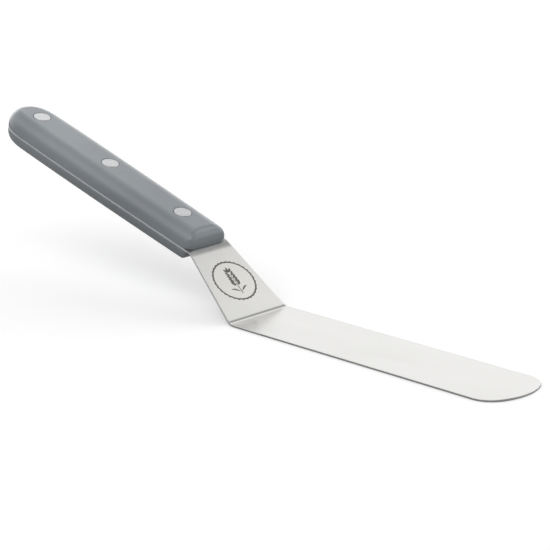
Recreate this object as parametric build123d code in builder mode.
from build123d import *
import math
import os

# Offset (cranked) icing spatula, millimetres, +Z up.
# The origin lies on the underside of the blade, on its centreline, where the flat
# of the blade begins at the heel bend.  +X runs along the blade to the tip; the
# slope and the handle rise towards -X.

# ---- sheet --------------------------------------------------------------------
sheet_thickness = 0.8
blade_width = 32.0           # parallel-sided blade
flat_length = 138.05         # heel bend to tip
tip_corner_radius = 11.0     # the tip is three tangent arcs: two corners ...
tip_end_radius = 22.0        # ... and a flatter end
heel_angle = 39.3            # rise of the slope from the blade
heel_bend_radius = 3.5       # inside radius, on the upper face
slope_length = 35.1          # upper face, heel corner to the tang's mid-plane
handle_angle = 16.3          # rise of the handle from the blade
shoulder_bend_radius = 6.0   # inside radius, on the under face
taper_start = 1.45           # x where the sides start to draw in, before the heel
shoulder_width = 21.5        # width where the slope meets the handle
taper_plan_radius = 12.0     # softening of both ends of the taper in plan
sheet_edge_radius = 0.18     # rounded-over edges of the exposed sheet

# ---- handle: distances along it are from the shoulder corner -------------------
handle_front = 2.0           # front face of the scales
handle_end = 128.72          # end of the butt
grip_width_front = 21.55
grip_width_belly = 23.35
grip_width_rear = 22.35
belly_at = 82.0              # widest place along the handle
butt_length = 15.4           # stretch over which the sides close in
butt_power = 2.5             # superellipse of the butt in plan
half_height_front = 7.45     # mid-plane of the tang to the crown of a scale
half_height_rear = 7.93
side_radius = 6.65           # big round-over along both sides and around the butt
front_radius = 4.3           # round-over of the front face, top and upright corners
inner_edge_radius = 0.2      # scale edges eased where they meet the tang
tang_joint = handle_front + 1.0   # bent sheet meets the tang, hidden in the handle

# Distances along the handle where its side is sampled, ahead of the butt.
side_stations = [handle_front, 12, 28, 46, 64, 82, 96, 106, 112]
# Superellipse angles (degrees) of the butt's samples, crowding towards its point.
butt_angles = range(27, 90, 9)

# ---- rivets -------------------------------------------------------------------
rivet_at = {"front": 19.2, "middle": 66.4, "rear": 113.5}   # along the handle
head_radius = 3.63
head_height = 1.6
head_edge_radius = 0.18
tube_radius = 2.38
shank_radius = 1.55
seat_gap = 0.06              # head to counterbore
tube_gap = 0.06              # tube to the holes in scales and tang
shank_gap = 0.03             # shank to tube
head_proud = 0.02            # heads stand a hair above the crown
shank_end_gap = 0.4          # end of the shank to the floor of the cap
tube_end_gap = 0.3           # end of the tube to the underside of the post's head
shank_chamfer = 0.3
tube_chamfer = 0.25          # inside the mouth of the tube
tube_hole_radius = tube_radius + tube_gap

# ---- surplus on blanks and cutters, trimmed away or cutting only air ------------
tip_surplus = 5.0            # sheet beyond the tip
shoulder_surplus = 8.0       # plan behind the shoulder
plan_depth = 5.0             # start of the plan's extrusion, below the blade
plan_height = 60.0           # full height of the plan's extrusion
crown_surplus = 2.0          # scale blank above the crown
tang_cutter = (20.0, 40.0)   # length and width
corner_search = 0.1          # margin in x when picking the taper's corners

# ---- frames -------------------------------------------------------------------
slope_rise = math.radians(heel_angle)
handle_rise = math.radians(handle_angle)
half_sheet = sheet_thickness / 2
heel_x = -heel_bend_radius * math.tan(slope_rise / 2)   # upper faces' corner
shoulder_x = heel_x - slope_length * math.cos(slope_rise)
shoulder_z = sheet_thickness + slope_length * math.sin(slope_rise)

shoulder = (shoulder_x, 0, shoulder_z)
rear_direction = (-math.cos(handle_rise), 0, math.sin(handle_rise))
up_direction = (math.sin(handle_rise), 0, math.cos(handle_rise))
# Mid-plane of the tang: its local x runs rearwards along the handle, z is up.
tang_mid = Plane(origin=shoulder, x_dir=rear_direction, z_dir=up_direction)
up = Axis(shoulder, up_direction)
rearwards = Axis(shoulder, rear_direction)


def half_width(along):
    """Half width of the handle at a distance along it."""
    if along <= belly_at:
        end, end_width = handle_front, grip_width_front
    else:
        end, end_width = handle_end, grip_width_rear
    from_belly = (along - belly_at) / (end - belly_at)
    grip = (grip_width_belly - (grip_width_belly - end_width) * from_belly**2) / 2
    into_butt = max(0.0, (along - (handle_end - butt_length)) / butt_length)
    return grip * max(0.0, 1 - into_butt**butt_power) ** (1 / butt_power)


def half_height(along):
    """Mid-plane of the tang to the crown of a scale."""
    fraction = (along - handle_front) / (handle_end - handle_front)
    return half_height_front + (half_height_rear - half_height_front) * fraction


def rivet_frame(along, height=0):
    """Frame parallel to the tang's mid-plane, at a height above it."""
    return Plane(
        origin=tang_mid.from_local_coords((along, 0, 0)),
        x_dir=tang_mid.x_dir,
        z_dir=tang_mid.z_dir,
    ).offset(height)


def mirrored(point):
    """The same point on the other side of the centreline in plan."""
    return (point[0], -point[1])


def side_points():
    """One side of the handle's plan, from its front to the point of the butt."""
    points = [(along, half_width(along)) for along in side_stations]
    for angle in butt_angles:
        into_butt = math.sin(math.radians(angle)) ** (2 / butt_power)
        along = handle_end - butt_length + butt_length * into_butt
        points.append((along, half_width(along)))
    points.append((handle_end, 0.0))
    return points


def handle_plan():
    """Closed outline of the handle in plan, straight across at its front."""
    side = side_points()
    other_side = [mirrored(point) for point in side]
    Spline(*side, tangents=[(1, 0.02), (0, -1)])
    Spline(*other_side, tangents=[(1, -0.02), (0, 1)])
    Line(other_side[0], side[0])


# ---- blade --------------------------------------------------------------------
# Side view, as (x, z) on the sheet's upper face.
# Up the slope from the mid-plane's corner to the upper faces' corner.
top_shift = half_sheet / math.sin(slope_rise - handle_rise)
shoulder_top = (
    shoulder_x - top_shift * math.cos(slope_rise),
    shoulder_z + top_shift * math.sin(slope_rise),
)
tang_top_end = (
    shoulder_x - tang_joint * math.cos(handle_rise) + half_sheet * math.sin(handle_rise),
    shoulder_z + tang_joint * math.sin(handle_rise) + half_sheet * math.cos(handle_rise),
)

# Plan of the tip, as (x, y): centres of its arcs, then points on its +Y side.
corner_center_y = blade_width / 2 - tip_corner_radius
center_distance = tip_end_radius - tip_corner_radius
center_reach = math.sqrt(center_distance**2 - corner_center_y**2)
end_center_x = flat_length - tip_end_radius
corner_center_x = end_center_x + center_reach
corner_mid_angle = (math.pi / 2 + math.atan2(corner_center_y, center_reach)) / 2
side_end = (corner_center_x, blade_width / 2)
corner_mid = (
    corner_center_x + tip_corner_radius * math.cos(corner_mid_angle),
    corner_center_y + tip_corner_radius * math.sin(corner_mid_angle),
)
arcs_meet = (
    end_center_x + center_reach * tip_end_radius / center_distance,
    corner_center_y * tip_end_radius / center_distance,
)


def make_blade():
    """Blade, slope and full tang in one sheet."""
    taper_front = (taper_start, blade_width / 2)
    taper_rear = (shoulder_x, shoulder_width / 2)
    plan_rear = (shoulder_x - shoulder_surplus, shoulder_width / 2)

    with BuildPart() as blade:
        # Side view of the bent sheet, up to the hidden joint inside the handle.
        with BuildSketch(Plane.XZ):
            with BuildLine():
                FilletPolyline(
                    (flat_length + tip_surplus, sheet_thickness),
                    (heel_x, sheet_thickness),
                    shoulder_top,
                    tang_top_end,
                    radius=(heel_bend_radius, shoulder_bend_radius + sheet_thickness),
                )
                offset(amount=sheet_thickness, side=Side.LEFT, closed=True)
            make_face()
        extrude(amount=blade_width, both=True)
        # Plan view: parallel blade, three-arc tip, taper up the slope.
        with BuildSketch(Plane.XY.offset(-plan_depth)) as plan:
            with BuildLine():
                Line(taper_front, side_end)
                ThreePointArc(side_end, corner_mid, arcs_meet)
                ThreePointArc(arcs_meet, (flat_length, 0), mirrored(arcs_meet))
                ThreePointArc(mirrored(arcs_meet), mirrored(corner_mid), mirrored(side_end))
                Polyline(
                    mirrored(side_end),
                    mirrored(taper_front),
                    mirrored(taper_rear),
                    mirrored(plan_rear),
                    plan_rear,
                    taper_rear,
                    taper_front,
                )
            make_face()
            # The taper starts and ends in a soft curve rather than a corner.
            taper_corners = plan.vertices().filter_by_position(
                Axis.X, shoulder_x - corner_search, taper_start + corner_search
            )
            fillet(taper_corners, taper_plan_radius)
        extrude(amount=plan_height, mode=Mode.INTERSECT)
        # The whole exposed rim of the sheet is rounded over, above and below.
        rim = (
            blade.edges()
            - blade.edges().filter_by(Axis.Z)
            - blade.edges().filter_by(Axis.Y)
            - blade.faces().sort_by(rearwards)[-1].edges()
        )
        fillet(rim, sheet_edge_radius)
        # Full tang: the sheet runs on at full width between the scales.
        with BuildSketch(tang_mid):
            with BuildLine():
                handle_plan()
            make_face()
            with Locations((tang_joint - tang_cutter[0] / 2, 0)):
                Rectangle(*tang_cutter, mode=Mode.SUBTRACT)
        extrude(amount=half_sheet, both=True)
        with BuildSketch(tang_mid):
            with Locations(*[(along, 0) for along in rivet_at.values()]):
                Circle(tube_hole_radius)
        extrude(amount=sheet_thickness, both=True, mode=Mode.SUBTRACT)
    return blade.part


# ---- scales -------------------------------------------------------------------
def make_upper_scale():
    """Handle half above the tang, with counterbored rivet holes."""
    crown_front = tang_mid.from_local_coords((handle_front, 0, half_height_front))
    crown_rear = tang_mid.from_local_coords((handle_end, 0, half_height_rear))
    crown = Plane(origin=crown_front, x_dir=crown_rear - crown_front, z_dir=tang_mid.z_dir)

    with BuildPart() as scale:
        with BuildSketch(tang_mid.offset(half_sheet)):
            with BuildLine():
                handle_plan()
            make_face()
        extrude(amount=half_height_rear + crown_surplus)
        # The crown falls slightly towards the front.
        split(bisect_by=crown, keep=Keep.BOTTOM)
        crown_edges = scale.faces().sort_by(up)[-1].edges()
        front_edge = crown_edges.sort_by(rearwards)[0]
        fillet(crown_edges - ShapeList([front_edge]), side_radius)
        front_face = scale.faces().sort_by(rearwards)[0]
        fillet(front_face.edges() - front_face.edges().group_by(up)[0], front_radius)
        # The edge that meets the tang is eased all round.
        tang_face = scale.faces().sort_by(up)[0]
        fillet(tang_face.edges(), inner_edge_radius)
        with Locations(*[rivet_frame(along, half_height(along)) for along in rivet_at.values()]):
            CounterBoreHole(
                radius=tube_hole_radius,
                counter_bore_radius=head_radius + seat_gap,
                counter_bore_depth=head_height,
            )
    return scale.part


def make_lower_scale(upper_scale):
    """Mirror image of the upper scale, below the tang."""
    with BuildPart() as scale:
        mirror(upper_scale, about=tang_mid)
    return scale.part


# ---- rivets -------------------------------------------------------------------
# Each rivet is two pieces pressed together through scales and tang: a post whose
# solid shank comes down from the upper scale, and a cap whose tube comes up to
# meet it from the lower one.  The seat is the height of a counterbore's floor
# from the tang's mid-plane.
def make_post(along):
    seat = half_height(along) - head_height
    with BuildPart() as post:
        with BuildSketch(rivet_frame(along, seat)):
            Circle(head_radius)
        extrude(amount=head_height + head_proud)
        fillet(post.faces().sort_by(up)[-1].edges(), head_edge_radius)
        with BuildSketch(rivet_frame(along, seat)):
            Circle(shank_radius)
        extrude(amount=-(2 * seat - shank_end_gap))
        chamfer(post.faces().sort_by(up)[0].edges(), shank_chamfer)
    return post.part


def make_cap(along):
    seat = half_height(along) - head_height
    with BuildPart() as cap:
        with BuildSketch(rivet_frame(along, -seat)):
            Circle(head_radius)
        extrude(amount=-(head_height + head_proud))
        fillet(cap.faces().sort_by(up)[0].edges(), head_edge_radius)
        with BuildSketch(rivet_frame(along, -seat)):
            Circle(tube_radius)
            Circle(shank_radius + shank_gap, mode=Mode.SUBTRACT)
        extrude(amount=2 * seat - tube_end_gap)
        tube_mouth = cap.faces().sort_by(up)[-1].edges().sort_by(SortBy.RADIUS)[0]
        chamfer(tube_mouth, tube_chamfer)
    return cap.part


# ---- pieces -------------------------------------------------------------------
def save(part, name):
    """Label a piece and write its STEP file."""
    part.label = name
    export_step(part, f"parts/{name}.step")


os.makedirs("parts", exist_ok=True)
save(make_blade(), "blade")
upper_scale = make_upper_scale()
save(upper_scale, "upper_scale")
save(make_lower_scale(upper_scale), "lower_scale")
for place, along in rivet_at.items():
    save(make_post(along), f"{place}_rivet_post")
    save(make_cap(along), f"{place}_rivet_cap")
